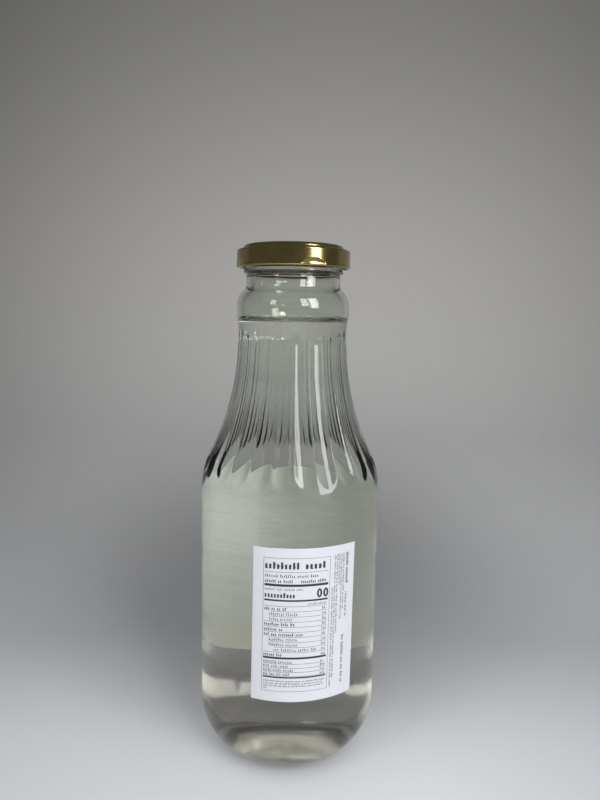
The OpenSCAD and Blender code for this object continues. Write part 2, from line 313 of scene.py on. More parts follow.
# %% Glass skin
PER_FLUTE = 14
COLS = FLUTES * PER_FLUTE
angles = math.radians(RIDGE_ANGLE) + np.arange(COLS) * 2 * math.pi / COLS


def turned(profile, angle):
    """Surface of revolution: every profile point is carried round the axis."""
    r, z = profile[:, 0][:, None], profile[:, 1][:, None]
    return r + 0 * angle, z + 0 * angle


r_out, z_out = turned(outside[1:], angles[None, :])
r_out = fluted_radius(r_out, z_out, angles[None, :])
on_wall = (z_out > BEAD_Z + 1.3) & (z_out < RIM_Z - 1.5) & (r_out > FINISH_R - 0.3)
r_out = np.where(on_wall, r_out + thread_rise(z_out, angles[None, :]), r_out)
r_in, z_in = turned(inside_down[:-1], angles[None, :])
radius, height = np.vstack([r_out, r_in]), np.vstack([z_out, z_in])
points = np.stack([radius * np.cos(angles), radius * np.sin(angles), height], -1) / 1000
rows = len(points)
faces = grid_faces(rows, COLS, True)
count = rows * COLS
points = np.vstack([points.reshape(-1, 3), [[0, 0, outside[0, 1] / 1000], [0, 0, inside_down[-1, 1] / 1000]]])
caps = [(count, (i + 1) % COLS, i) for i in range(COLS)]
last = (rows - 1) * COLS
caps += [(count + 1, last + i, last + (i + 1) % COLS) for i in range(COLS)]
glass = new_mesh("glass_bottle_blown", points, faces, True, caps)
report(glass)

# %% [markdown]
# ## The drink
# The drink fills the hollow up to the bulge. Its wall lies a hair inside the glass, and its top is
# flat in the middle and climbs the glass at the rim: a meniscus, about two millimetres high.

# %% Drink body
GAP = 0.03
heights = np.linspace(3.0, 240.0, 1500)
radii = np.interp(heights, inner_up[8:, 1], inner_up[8:, 0])


def inner_radius(z):
    """Radius of the hollow at height z, from the inner outline."""
    return np.interp(z, heights, radii)


MENISCUS, MENISCUS_FADE = 2.4, 1.3
below = inner_up[inner_up[:, 1] < LEVEL_Z + MENISCUS - 0.2]
wall_r = float(inner_radius(LEVEL_Z + MENISCUS)) - GAP
side = np.vstack([below, [[wall_r + GAP, LEVEL_Z + MENISCUS]]])
side = side - np.array([[GAP, 0.0]]) * (side[:, :1] > 1)
side[:, 1] += np.where(side[:, 1] < 12.0, GAP, 0)
reach = np.array([0.1, 0.25, 0.45, 0.7, 1.0, 1.4, 1.9, 2.6, 3.5, 5.0, 8.0])
top = np.stack([wall_r - reach, LEVEL_Z + MENISCUS * np.exp(-reach / MENISCUS_FADE)], -1)
DRINK_COLS = 180
drink_angles = np.arange(DRINK_COLS) * 2 * math.pi / DRINK_COLS
profile = np.vstack([side[1:], top])
dr, dz = turned(profile, drink_angles[None, :])
pts = np.stack([dr * np.cos(drink_angles), dr * np.sin(drink_angles), dz], -1) / 1000
n = len(profile) * DRINK_COLS
end = n - DRINK_COLS
pts = np.vstack([pts.reshape(-1, 3), [[0, 0, side[0, 1] / 1000], [0, 0, LEVEL_Z / 1000]]])
fans = [(n, (i + 1) % DRINK_COLS, i) for i in range(DRINK_COLS)]
fans += [(n + 1, end + i, end + (i + 1) % DRINK_COLS) for i in range(DRINK_COLS)]
drink = new_mesh("juice_fill", pts, grid_faces(len(profile), DRINK_COLS, True), True, fans)
report(drink)

# %% [markdown]
# ## The cap
# A lug cap is pressed from one disc of tinplate. Its section is followed out over the panel, down the
# skirt, round the curl and back up inside. At each of the four lugs the curl is pushed in under the
# thread: there the section changes from a round curl to a flattened hook, so both are drawn with the
# same number of points and mixed by a smooth weight that depends on the angle. The press also leaves an
# arched dent in the skirt over each lug.

# %% Cap shell
RING_Z = CAP_TOP - PANEL_STEP
CURL_X, CURL_Z = CAP_R + 0.1 - CURL_R, CAP_FOOT + CURL_R


def tin_section(g, n1, n2, n3):
    """Panel, step, ring and corner, drawn g inside the outer face."""
    return np.vstack([
        line((0.5, CAP_TOP - g), (PANEL_R - PANEL_CURVE - 0.5, CAP_TOP - g), 6),
        arc(PANEL_R - PANEL_CURVE, CAP_TOP - PANEL_CURVE, PANEL_CURVE - g, 90, 0, n1),
        arc(PANEL_R + 0.4, RING_Z + 0.4, 0.4 + g, 180, 270, n2),
        arc(CAP_R - 1, RING_Z - 1, 1 - g, 90, 0, n3),
    ])


outer_tin = tin_section(0.0, 9, 6, 8)
inner_tin = tin_section(GAUGE, 9, 6, 8)[::-1]
skirt = line((CAP_R, RING_Z - 1.2), (CAP_R + 0.02, CURL_Z + 0.3), 10)
curl = arc(CURL_X, CURL_Z, CURL_R, 5, -230, 18)
lug_in = FINISH_R + LUG_CLEAR
PRESS_DEPTH = 0.4
hook = np.vstack([
    arc(CURL_X, CURL_Z, CURL_R, 5, -80, 6),
    line((CURL_X - 0.3, CAP_FOOT + 0.06), (lug_in + 0.7, LUG_TOP - 1.35), 5)[1:],
    arc(lug_in + 0.45, LUG_TOP - 0.75, 0.45, 250, 120, 5),
    line((lug_in + 0.6, LUG_TOP - 0.1), (CURL_X + 0.1, LUG_TOP - 0.12), 4)[1:],
])
back_up = line((CAP_R - GAUGE, CURL_Z + 1.2), (CAP_R - GAUGE, RING_Z - 1.2), 6)
plain = np.vstack([outer_tin, skirt, curl, back_up, inner_tin])
lugged = np.vstack([outer_tin, skirt, hook, back_up, inner_tin])
assert len(plain) == len(lugged), (len(plain), len(lugged))
CAP_COLS = 360
cap_angles = math.radians(LUG_ANGLE) + np.arange(CAP_COLS) * 2 * math.pi / CAP_COLS
lug_step = 2 * math.pi / LUGS
from_lug = np.abs(np.mod(cap_angles - math.radians(LUG_ANGLE) + lug_step / 2, lug_step) - lug_step / 2)
weight = np.clip((math.radians(LUG_ARC / 2) - from_lug) / math.radians(2.5) + 0.5, 0, 1)
weight = weight * weight * (3 - 2 * weight)
cr = plain[:, 0][:, None] * (1 - weight) + lugged[:, 0][:, None] * weight
cz = plain[:, 1][:, None] * (1 - weight) + lugged[:, 1][:, None] * weight
arch = np.cos(np.clip(from_lug / math.radians(LUG_ARC * 0.65), 0, 1) * math.pi / 2)
press = np.clip((CAP_FOOT + 1.2 + 2.2 * arch - cz) / 0.9, 0, 1) * np.clip(arch * 3, 0, 1)
cr -= np.where(cr > CAP_R - 3, PRESS_DEPTH * press * press * (3 - 2 * press), 0)
pts = np.stack([cr * np.cos(cap_angles), cr * np.sin(cap_angles), cz], -1) / 1000
n = len(plain) * CAP_COLS
end = n - CAP_COLS
pts = np.vstack([pts.reshape(-1, 3), [[0, 0, CAP_TOP / 1000], [0, 0, (CAP_TOP - GAUGE) / 1000]]])
fans = [(n, i, (i + 1) % CAP_COLS) for i in range(CAP_COLS)]
fans += [(n + 1, end + (i + 1) % CAP_COLS, end + i) for i in range(CAP_COLS)]
cap = new_mesh("twist_cap_tinplate", pts, grid_faces(len(plain), CAP_COLS, True)[:, ::-1], True, fans)
report(cap)

# %% [markdown]
# ## The gasket
# Plastisol is poured into the cap as a paste and sets into a soft ring, so its section has a rounded
# outer shoulder and a soft inner edge.

# %% Gasket ring
seal_in, seal_out = FINISH_R - GASKET_W, FINISH_R
gz0, gz1 = RIM_Z, RIM_Z + GASKET_T
ring = np.vstack([
    line((seal_in + 0.3, gz0), (seal_out - 0.15, gz0), 6),
    arc(seal_out - 0.15, gz0 + 0.15, 0.15, -80, 10, 4),
    line((seal_out - 0.02, gz0 + 0.25), (PANEL_R - PANEL_CURVE - 0.25, gz1 - 0.02), 5),
    line((PANEL_R - PANEL_CURVE - 0.5, gz1), (seal_in + 0.3, gz1), 4),
    arc(seal_in + 0.3, gz0 + 0.5, 0.3, 90, 270, 7)[1:-1],
])
GASKET_COLS = 160
ga = np.arange(GASKET_COLS) * 2 * math.pi / GASKET_COLS
gr, gz = turned(ring, ga[None, :])
pts = np.stack([gr * np.cos(ga), gr * np.sin(ga), gz], -1) / 1000
closed = np.concatenate([pts, pts[:1]])
f = grid_faces(len(closed), GASKET_COLS, True)
f = np.where(f >= len(ring) * GASKET_COLS, f - len(ring) * GASKET_COLS, f)
gasket = new_mesh("plastisol_gasket", pts, f, True)
report(gasket)


# %% [markdown]
# ## The labels
# A paper label is a rectangle bent round the bottle. Any point of the paper is given by its distance
# along the paper and its height on it, and one function turns that into a place on the bottle, with
# the distance along the paper as an angle. The paper is a closed thin skin on such a grid.

# %% Label sheets
FRONT = {"width": FRONT_W, "height": FRONT_H, "z0": FRONT_Z, "middle": FRONT_ANGLE, "turn": -0.010}
REAR = {"width": REAR_W, "height": REAR_H, "z0": REAR_Z, "middle": FRONT_ANGLE + 180.0, "turn": 0.0}


def on_paper(label, u, v, lift):
    """Place of the point u along and v up the paper, lift outside the body: angle = middle + u / R."""
    um, vm = u - label["width"] / 2, v - label["height"] / 2
    along = um * math.cos(label["turn"]) - vm * math.sin(label["turn"])
    up = um * math.sin(label["turn"]) + vm * math.cos(label["turn"])
    a = math.radians(label["middle"]) + along / BODY_R
    r = BODY_R + lift
    return np.stack([r * np.cos(a), r * np.sin(a), label["z0"] + label["height"] / 2 + up], -1) / 1000


def label_sheet(name, label, n=48, m=24):
    """Closed skin of n by m points on either face, with the place on the paper in metres as its UV."""
    u, v = np.meshgrid(np.linspace(0, label["width"], n), np.linspace(0, label["height"], m))
    inner = on_paper(label, u, v, 0.02).reshape(-1, 3)
    outer = on_paper(label, u, v, LABEL_T).reshape(-1, 3)
    rim = np.concatenate([np.arange(n), np.arange(1, m) * n + n - 1, (m - 1) * n + np.arange(n - 2, -1, -1),
                          np.arange(m - 2, 0, -1) * n])
    sides = np.stack([rim, np.roll(rim, -1), np.roll(rim, -1) + n * m, rim + n * m], -1)
    quads = grid_faces(m, n, False)
    piece = new_mesh(name, np.vstack([inner, outer]),
                     np.vstack([quads[:, ::-1], quads + n * m, sides]), False)
    uv = piece.data.uv_layers.new(name="paper_m")
    loops = np.empty(len(piece.data.loops), int)
    piece.data.loops.foreach_get("vertex_index", loops)
    flat = np.tile(np.stack([u, v], -1).reshape(-1, 2), (2, 1)) / 1000
    uv.data.foreach_set("uv", flat[loops].ravel())
    report(piece)
    return piece


front = label_sheet("front_label_paper", FRONT)
rear = label_sheet("rear_label_paper", REAR, 72, 24)

# %% [markdown]
# ## The print on the front label
# The front label carries a ruled table and, beside it, lines of small type turned on their side.
# The type stands for no words: each line is a row of short stems and bars on a regular pitch, drawn
# from a seeded generator, so it has the grey of small print and says nothing. Every mark is a box
# on the paper, from its left and right edge and the distance of its top and foot from the paper's top.

# %% Marks and rules
rng = np.random.default_rng(7)


def word(start, end, top, tall, ink):
    """Boxes of one group of marks: a stem at each pitch, some full height, some with a bar."""
    count = max(1, round((end - start) / (0.6 * tall)))
    step = (end - start) / count
    boxes = []
    for i in range(count):
        at = start + i * step
        low = top if rng.random() < 0.3 else top + 0.28 * tall
        boxes.append((at, at + ink * step, low, top + tall))
        bar = rng.integers(0, 4)
        if bar < 3:
            edge = (top + 0.28 * tall, top + 0.55 * tall, top + 0.84 * tall)[bar]
            boxes.append((at, at + 0.72 * step, edge, edge + 0.16 * tall))
    return boxes


def type_line(start, end, top, tall, ink=0.34):
    """Boxes of a line of marks, in groups of two to eight with a gap between groups."""
    boxes, at = [], start
    while at < end - tall:
        stop = min(end, at + 0.6 * tall * rng.integers(2, 9))
        boxes += word(at, stop, top, tall, ink)
        at = stop + 0.5 * tall
    return boxes


def on_its_side(boxes, across):
    """The same boxes turned to run down the paper, with their foot towards the left edge."""
    return [(across - foot, across - top, start, end) for start, end, top, foot in boxes]


TABLE_L, TABLE_R, TABLE_TOP, TABLE_FOOT, HAIR, BOLD = 5.1, 36.6, 4.6, 69.6, 0.16, 0.55
L, R = TABLE_L + 0.8, TABLE_R - 1.1
marks = [(TABLE_L, TABLE_R, TABLE_TOP, TABLE_TOP + HAIR), (TABLE_L, TABLE_R, TABLE_FOOT, TABLE_FOOT + HAIR),
         (TABLE_L, TABLE_L + HAIR, TABLE_TOP, TABLE_FOOT), (TABLE_R - HAIR, TABLE_R, TABLE_TOP, TABLE_FOOT)]
marks += word(L, 22.3, 6.6, 3.2, BOLD) + word(24.6, 34.9, 6.6, 3.2, BOLD)
marks += [(L, R, 11.2, 11.2 + HAIR)] + type_line(L, 31.0, 12.4, 1.5)
marks += type_line(L, 19.1, 14.9, 1.5, 0.45) + type_line(22.6, R, 14.9, 1.5, 0.45)
marks += [(L - 0.2, R + 0.2, 17.0, 18.15)]
marks += type_line(L, 23.8, 18.9, 1.2, 0.28) + word(L, 20.4, 21.2, 2.4, BOLD)
marks += [(L - 0.2, R + 0.2, 24.5, 25.35)] + type_line(26.2, R, 26.0, 1.2, 0.28)
ROW, FIRST_ROW = 2.5, 27.9
table = ((0.0, 10.4), (2.4, 14.0), (2.4, 11.0), (0.0, 14.5), (0.0, 10.2), (0.0, 20.0), (2.4, 13.4), (2.4, 13.6),
         (4.8, 20.2), (0.0, 8.8))
for i, (indent, length) in enumerate(table):
    top = FIRST_ROW + i * ROW
    marks += type_line(L + indent, L + indent + length, top + 0.35, 1.5, 0.46 if indent == 0 else 0.3)
    marks += type_line(R - 2.4, R, top + 0.35, 1.5, 0.3) + [(L + indent, R, top - 0.25, top - 0.25 + HAIR)]
marks += [(L - 0.2, R + 0.2, 52.6, 53.6)]
for i in range(4):
    top = 54.3 + 2.05 * i
    marks += type_line(L, L + 13.5 + 2 * math.cos(2.6 * i), top, 1.35, 0.34)
    marks += type_line(R - 2.6, R, top, 1.35, 0.3) + [(L, R, top + 1.6, top + 1.6 + HAIR)]
marks += [(L - 0.2, R + 0.2, 62.4, 63.1)]
for i, share in enumerate((1.0, 0.96, 0.98, 0.1)):
    marks += type_line(L, L + share * (R - L), 64.2 + 1.2 * i, 0.8, 0.4)
for across, start, end, tall, ink in (
        (47.0, 4.3, 21.6, 1.6, BOLD), (46.6, 23.6, 36.0, 1.4, 0.34), (44.6, 4.2, 31.8, 1.0, 0.36),
        (43.4, 4.6, 36.7, 1.0, 0.36), (42.2, 4.2, 20.3, 1.0, 0.36), (41.0, 4.4, 44.0, 1.0, 0.36),
        (39.8, 4.5, 65.4, 1.0, 0.36), (38.6, 20.4, 69.7, 1.0, 0.36), (45.4, 44.9, 68.9, 1.6, 0.42)):
    marks += on_its_side(type_line(start, end, 0.0, tall, ink), across)
print("printed marks:", len(marks))

# %% [markdown]
# The marks become one piece a hair outside the paper. Each box is cut along the paper so that it
# bends with it. The big plain number is two oval rings, each a strip between an outer and an inner
# ellipse.

# %% Print as a mesh
INK_LIFT = LABEL_T + 0.03


def oval(middle, top, wide, tall, thick, n=28):
    """Outer and inner ellipse of a ring, as two rows of points on the paper."""
    t = np.arange(n + 1) * 2 * math.pi / n
    across = [middle + (wide / 2 - cut) * np.cos(t) for cut in (thick, 0)]
    down = [top + tall / 2 - (tall / 2 - cut) * np.sin(t) for cut in (thick, 0)]
    return np.stack(across), np.stack(down)


def print_piece(name, label, boxes, rings):
    """Strips of quads for all boxes and rings, bent with the paper."""
    points, quads, total = [], [], 0
    shapes = [np.meshgrid(np.linspace(a, b, 1 + max(1, math.ceil((b - a) / 1.2))), [foot, top])
              for a, b, top, foot in boxes] + list(rings)
    for u, drop in shapes:
        points.append(on_paper(label, u, label["height"] - drop, INK_LIFT).reshape(-1, 3))
        quads.append(grid_faces(2, u.shape[1], False) + total)
        total += u.size
    return new_mesh(name, np.vstack(points), np.vstack(quads), False)


figure = [oval(middle, 19.5, 2.6, 4.4, 0.92) for middle in (31.5, 34.6)]
ink = print_piece("front_label_print", FRONT, marks, figure)
report(ink)

# %% [markdown]
# ## Helpers for materials
# Colours are written as sRGB hex values and turned to linear light by one function. Another adds any
# node, sets its inputs and makes its links, and three short ones add noise, a colour between two
# others, and bump.

# %% Colour and node helpers
def hex_rgba(code):
    """sRGB hex to linear RGBA: c / 12.92 below 0.04045, else ((c + 0.055) / 1.055) ^ 2.4."""
    c = np.array([int(code[i:i + 2], 16) for i in (1, 3, 5)]) / 255
    lin = np.where(c <= 0.04045, c / 12.92, ((c + 0.055) / 1.055) ** 2.4)
    return (*lin.tolist(), 1.0)


def add(tree, kind, settings=None, inputs=None, links=None):
    """New node of a kind, with its settings, socket values and incoming links (socket: output)."""
    node = tree.nodes.new(kind)
    for key, value in (settings or {}).items():
        setattr(node, key, value)
    for key, value in (inputs or {}).items():
        node.inputs[key].default_value = value
    for key, output in (links or {}).items():
        tree.links.new(output, node.inputs[key])
    return node


def noise(tree, vector, scale, detail):
    """Value of a noise of so many cells to a metre, on the given coordinates."""
    node = add(tree, "ShaderNodeTexNoise", inputs={"Scale": scale, "Detail": detail},
               links={"Vector": vector})
    return node.outputs["Fac"]


def between(tree, low, high, share):
    """Colour between two hex colours, by a share that another node gives."""
    node = add(tree, "ShaderNodeMix", {"data_type": "RGBA"}, {"A": hex_rgba(low), "B": hex_rgba(high)},
               {"Factor": share})
    return node.outputs["Result"]


def bumps(tree, height, strength, distance, normal=None):
    """Normal bent by a height of up to distance metres, on top of another normal if one is given."""
    links = {"Height": height} if normal is None else {"Height": height, "Normal": normal}
    node = add(tree, "ShaderNodeBump", inputs={"Strength": strength, "Distance": distance}, links=links)
    return node.outputs["Normal"]


def new_material(name):
    """Material with an empty node tree, and that tree."""
    mat = bpy.data.materials.new(name)
    mat.use_nodes = True
    mat.node_tree.nodes.clear()
    return mat, mat.node_tree


# %% [markdown]
# ## Glass
# Flint glass is poured from cullet with a little iron in it, which shows as a faint green where one
# looks through a long stretch of it, at the edges. Its surface comes from a polished iron mould: smooth,
# but with a slow waviness a few millimetres long. Its index is about 1.52. Where it meets the drink
# only the ratio of the two indices bends the light, 1.52 / 1.34, so that wall has its own slot.
#
# Two more settings are chosen and are no property of flint glass: the tint changes with height and is
# deepest just below the waist, as painted shade, and warm in the foot, as a painted warm glow; and the
# foot is a little rough, with the roughness gone at 60 millimetres, so that lamps show less hard inside it.

# %% Glass materials
DRINK_IOR, GLASS_IOR = 1.34, 1.52


def glass_material(name, ior, wave_mm, wave_strength, tint, rough=0.0):
    """Clear glass with waves of wave_mm; its tint acts each time that light crosses the surface."""
    mat, tree = new_material(name)
    coord = add(tree, "ShaderNodeTexCoord")
    wave = noise(tree, coord.outputs["Object"], 1000.0 / wave_mm, 1.0)
    glass_bsdf = add(tree, "ShaderNodeBsdfPrincipled",
                     inputs={"Base Color": hex_rgba(tint), "Roughness": rough, "IOR": ior,
                             "Transmission Weight": 1.0},
                     links={"Normal": bumps(tree, wave, wave_strength, 0.0004)})
    add(tree, "ShaderNodeOutputMaterial", links={"Surface": glass_bsdf.outputs["BSDF"]})
    return mat


# The warm foot tint is a painted warm glow, and the darker tints just below the waist are painted shade.
FOOT_PAINTED_GLOW_TINT, FOOT_ROUGH, ROUGH_TO, CLEAR_FROM = "#FBF7E6", 0.12, 0.03, 0.06
PAINTED_GLOW_AND_SHADE_TINTS = [(0.02, FOOT_PAINTED_GLOW_TINT), (0.06, "#FBFCFA"), (0.145, "#FBFCFA"), (0.203, "#DFE3D9"), (0.214, "#E3E7DE"),
         (0.226, "#EEF1EA"), (0.25, "#ECEFE8")]


def change_with_height(mat, stops):
    """Ramp the tint, with its painted shade and painted warm glow, between heights in metres, and let the
    foot's roughness fade out upwards.
    """
    tree = mat.node_tree
    glass_bsdf = tree.nodes["Principled BSDF"]
    low, high = stops[0][0], stops[-1][0]
    place = add(tree, "ShaderNodeSeparateXYZ",
                links={"Vector": tree.nodes["Texture Coordinate"].outputs["Object"]})
    share = add(tree, "ShaderNodeMapRange", inputs={"From Min": low, "From Max": high},
                links={"Value": place.outputs["Z"]})
    ramp = add(tree, "ShaderNodeValToRGB", links={"Fac": share.outputs["Result"]})
    marks = ramp.color_ramp.elements
    while len(marks) < len(stops):
        marks.new(0.5)
    for mark, (z, tint) in zip(marks, stops):
        mark.position, mark.color = (z - low) / (high - low), hex_rgba(tint)
    tree.links.new(ramp.outputs["Color"], glass_bsdf.inputs["Base Color"])
    soft = add(tree, "ShaderNodeMapRange",
               inputs={"From Min": ROUGH_TO, "From Max": CLEAR_FROM, "To Min": FOOT_ROUGH, "To Max": 0.0},
               links={"Value": place.outputs["Z"]})
    tree.links.new(soft.outputs["Result"], glass_bsdf.inputs["Roughness"])


flint_glass = glass_material("blown_flint_glass_painted_shade_and_glow", GLASS_IOR, 14.0, 0.25, "#FBFCFA")
change_with_height(flint_glass, PAINTED_GLOW_AND_SHADE_TINTS)
wet_glass = glass_material("flint_glass_against_drink", GLASS_IOR / DRINK_IOR, 18.0, 0.15, "#FFFFFE")
foot_glass = glass_material("flint_glass_foot_painted_glow", GLASS_IOR, 5.0, 0.6, FOOT_PAINTED_GLOW_TINT, FOOT_ROUGH)
for each in (flint_glass, wet_glass, foot_glass):
    glass.data.materials.append(each)
AIR_SLOT, DRINK_SLOT, FOOT_SLOT = 0, 1, 2
start_in = len(r_out) - 1
slots = np.full(len(glass.data.polygons), AIR_SLOT, np.int32)
quad_rows = np.repeat(np.arange(rows - 1), COLS)
is_wet = (quad_rows >= start_in) & (height[quad_rows, 0] < LEVEL_Z + MENISCUS + 0.4)
slots[:len(quad_rows)][is_wet] = DRINK_SLOT
slots[:len(quad_rows)][quad_rows < len(under) + len(foot) + 4] = FOOT_SLOT
slots[-COLS:] = DRINK_SLOT
slots[-2 * COLS:-COLS] = FOOT_SLOT
glass.data.polygons.foreach_set("material_index", slots)
print("faces against the drink:", int((slots == DRINK_SLOT).sum()), "of", len(slots))

# %% [markdown]
# ## Drink
# The drink is clear with a faint straw green. Its free surface bends light like water with a little
# sugar, index 1.34. Its side wall is already bent by the wet glass, so there it lets light straight
# through, and the colour builds up inside with depth by absorption.

# %% Drink materials
def drink_material(name, surface):
    """Absorbing drink, bounded by a refracting surface or, against the glass, by a clear one."""
    mat, tree = new_material(name)
    if surface:
        bsdf = add(tree, "ShaderNodeBsdfPrincipled",
                   inputs={"Base Color": hex_rgba("#FFFFFF"), "Roughness": 0.0, "IOR": DRINK_IOR,
                           "Transmission Weight": 1.0})
        out = bsdf.outputs["BSDF"]
    else:
        out = add(tree, "ShaderNodeBsdfTransparent", inputs={"Color": (1, 1, 1, 1)}).outputs["BSDF"]
    depth = add(tree, "ShaderNodeVolumeAbsorption", inputs={"Color": hex_rgba("#F0F3E4"), "Density": 2.0})
    add(tree, "ShaderNodeOutputMaterial", links={"Surface": out, "Volume": depth.outputs["Volume"]})
    return mat


drink.data.materials.append(drink_material("juice_in_glass", False))
drink.data.materials.append(drink_material("juice_surface", True))
slots = np.zeros(len(drink.data.polygons), np.int32)
side_quads = (len(side) - 2) * DRINK_COLS
slots[side_quads:(len(profile) - 1) * DRINK_COLS] = 1
slots[-DRINK_COLS:] = 1
drink.data.polygons.foreach_set("material_index", slots)


# %% [markdown]
# ## Lacquered tinplate
# The cap is bright tinplate under a clear gold lacquer: a metal with a yellow tint, quite glossy, with
# a faint orange peel and small rubbed spots that are a little duller.

# %% Cap material
mat_tin, tree = new_material("gold_lacquered_tinplate")
coord = add(tree, "ShaderNodeTexCoord")
peel = noise(tree, coord.outputs["Object"], 900.0, 2.0)
cloud = noise(tree, coord.outputs["Object"], 160.0, 3.0)
rough = add(tree, "ShaderNodeMapRange", inputs={"To Min": 0.13, "To Max": 0.22}, links={"Value": cloud})
tin = add(tree, "ShaderNodeBsdfPrincipled",
          inputs={"Metallic": 1.0, "Coat Weight": 0.12, "Coat Roughness": 0.2},
          links={"Base Color": between(tree, "#A2915A", "#B9A870", cloud),
                 "Roughness": rough.outputs["Result"], "Normal": bumps(tree, peel, 0.05, 0.0002)})
add(tree, "ShaderNodeOutputMaterial", links={"Surface": tin.outputs["BSDF"]})
cap.data.materials.append(mat_tin)

# %% [markdown]
# ## Gasket and paper
# Plastisol is a soft cream compound. The front label is coated paper: white, slightly rough, with a
# very faint fibre pattern. The rear label shows its uncoated back through the drink: it is thin enough
# to let some light through, and a little cockled.

# %% Gasket and paper materials
mat_seal, tree = new_material("cream_plastisol")
coord = add(tree, "ShaderNodeTexCoord")
grain = noise(tree, coord.outputs["Object"], 700.0, 3.0)
seal = add(tree, "ShaderNodeBsdfPrincipled", inputs={"Roughness": 0.55},
           links={"Base Color": between(tree, "#DDD6C0", "#E8E2D0", grain),
                  "Normal": bumps(tree, grain, 0.1, 0.0002)})
add(tree, "ShaderNodeOutputMaterial", links={"Surface": seal.outputs["BSDF"]})
gasket.data.materials.append(mat_seal)


def paper_material(name, light, shade, ripple, through):
    """Paper: fibres in its colour, a bump of fibres and of slow ripples, and a share of light let through."""
    mat, tree = new_material(name)
    uv = add(tree, "ShaderNodeUVMap", {"uv_map": "paper_m"})
    fibre = noise(tree, uv.outputs["UV"], 1400.0, 4.0)
    wide = add(tree, "ShaderNodeMapping", inputs={"Scale": (0.35, 1.0, 1.0)},
               links={"Vector": uv.outputs["UV"]})
    cockle = noise(tree, wide.outputs["Vector"], 220.0, 3.0)
    blend = add(tree, "ShaderNodeMix", inputs={0: 0.6}, links={2: fibre, 3: cockle})
    tone = between(tree, shade, light, blend.outputs[0])
    normal = bumps(tree, cockle, ripple, 0.001, bumps(tree, fibre, 0.06, 0.0001))
    bsdf = add(tree, "ShaderNodeBsdfPrincipled", inputs={"Roughness": 0.45, "Specular IOR Level": 0.4},
               links={"Base Color": tone, "Normal": normal})
    surface = bsdf.outputs["BSDF"]
    if through > 0:
        clear = add(tree, "ShaderNodeBsdfTranslucent", links={"Color": tone, "Normal": normal})
        mix = add(tree, "ShaderNodeMixShader", inputs={0: through},
                  links={1: surface, 2: clear.outputs["BSDF"]})
        surface = mix.outputs["Shader"]
    add(tree, "ShaderNodeOutputMaterial", links={"Surface": surface})
    return mat


front.data.materials.append(paper_material("coated_label_paper", "#CBCDD2", "#C3C5CA", 0.0, 0.0))
rear.data.materials.append(paper_material("uncoated_label_back", "#FFFFFD", "#E6E9E2", 0.5, 0.3))

mat_ink, tree = new_material("black_label_ink")
coord = add(tree, "ShaderNodeTexCoord")
cover = noise(tree, coord.outputs["Object"], 2500.0, 2.0)
bsdf = add(tree, "ShaderNodeBsdfPrincipled", inputs={"Roughness": 0.5},
           links={"Base Color": between(tree, "#1C1D20", "#34363A", cover)})
add(tree, "ShaderNodeOutputMaterial", links={"Surface": bsdf.outputs["BSDF"]})
ink.data.materials.append(mat_ink)

# %% [markdown]
# ## Put the pieces on their bodies
# Each new piece rides on a body of the frame, and the solid that it stands for is hidden; the drink and
# the print ride on the bottle and hide nothing.

# %% Ride and replace
for piece, body_name, node, slot in (
        (glass, "bottle", "glass_bottle", "clear_glass"),
        (front, "bottle", "front_label", "white_paper"),
        (rear, "bottle", "rear_label", "white_paper"),
        (gasket, "gasket", "sealing_gasket", "soft_gasket"),
        (cap, "cap", "twist_off_cap", "gold_tinplate")):
    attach(piece, body_name)
    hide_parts(node)
for extra, slot in ((drink, "clear_glass"), (ink, "white_paper")):
    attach(extra, "bottle")

# %% [markdown]
# ## Floor and backdrop
# The bottle stands on a pale sheet that sweeps up into a grey wall. The sheet carries its own
# coordinates in metres: how far to the side, and how far along the sheet from the bottle's axis.
# From these a smooth brightness is worked out: a gradient along the sheet, a fall-off to the sides,
# a soft shadow behind the bottle and a thin contact shadow round its foot.
#
# From its front edge to 0.12 m behind the bottle's axis, 45 hundredths of the sheet are matt paper, which
# takes the light and the real shadow of the bottle; its colour also carries the worked-out brightness with
# the painted shadows. That share is gone at 0.34 m. The rest glows with the worked-out brightness, so that
# part of the shadow is painted: it stays where it is when a lamp or the bottle is moved.
#
# The levels along the sheet, its fall-off to the sides and the first of the painted shadows are the
# rounded result of a program's least-squares fit to one view. The other terms are given one by one.
# They suit that view, and are no law of how paper is lit.

# %% Stage
FLOOR_Y, SWEEP_R, SHEET_FRONT, SHEET_TOP, SHEET_HALF = 0.10, 0.25, -1.6, 2.4, 2.0
SHADOW_SHARE, SHARE_TO, SHARE_END, SHEET_ALBEDO = 0.45, 0.12, 0.34, 1.72
RUN_START, RUN_SPAN = -0.05, 0.85
# From the fit: metres along the sheet from the bottle's axis, and the level there.
RUN_LEVELS = [(-0.05, 0.557), (0.0, 0.55), (0.05, 0.46), (0.10, 0.40), (0.16, 0.395), (0.24, 0.35),
              (0.34, 0.35), (0.45, 0.40), (0.60, 0.325), (0.78, 0.165)]
# The brightness is also e to a power. It is painted light that leans to one side, falls off to both, and drops
# at the right.
SIDE_LIMIT, LEAN, LEAN_LOSS, SIDE_FALL = 0.33, 0.50, 0.094, -3.982
LOSS_START, LOSS_PER_M = 0.2, 3.333
RIGHT_START, RIGHT_FALL, RIGHT_REACH = 0.07, -1.7, 0.25
# Painted shadows: the power in the middle, then place and reach, each to the side and along the sheet.
# The first is from the fit.
SHADOWS = [(-0.935, 0.01, 0.18, 0.15, 0.12), (-0.45, 0.0, 0.045, 0.075, 0.05),
           (-0.5, 0.0, 0.075, 0.032, 0.05)]
# The contact shadow is a soft ring round the foot, and the sheet under the bottle is darker still.
RING_R, RING_REACH, RING_DEPTH = 0.024, 0.012, 0.45
UNDER_R, UNDER_REACH, UNDER_LEVEL = 0.012, 0.018, 0.3


